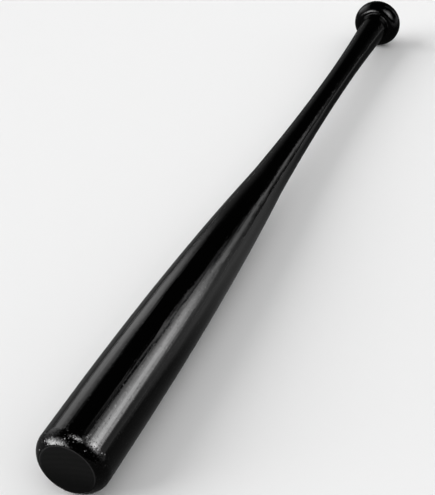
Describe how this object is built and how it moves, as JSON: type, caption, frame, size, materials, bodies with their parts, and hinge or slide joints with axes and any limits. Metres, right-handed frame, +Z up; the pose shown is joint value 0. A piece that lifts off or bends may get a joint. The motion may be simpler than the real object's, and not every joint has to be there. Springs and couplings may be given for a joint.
{
  "type": "wooden baseball bat",
  "caption": "Turned wooden baseball bat in gloss black lacquer, with a flat barrel end, a rounded shoulder, a long taper, a slim handle and a round knob.",
  "frame": {"origin": "centre of the flat barrel end, on the bat's own axis", "axes": "+X along the bat's axis from the barrel end to the knob, +Z up with the bat lying on its side"},
  "size_m": [0.762, 0.0576, 0.0576],
  "materials": {
    "bare_wood": "sanded, hidden under the finish",
    "black_lacquer": "black colour coat",
    "gloss_top_coat": "high gloss top coat over black",
    "satin_end_seal": "satin black seal on end grain"
  },
  "bodies": {
    "root": {"wood_billet": "bare_wood", "black_lacquer": "black_lacquer", "clear_gloss_lacquer": "gloss_top_coat", "barrel_end_seal": "satin_end_seal", "knob_end_seal": "satin_end_seal"}
  },
  "joints": []
}
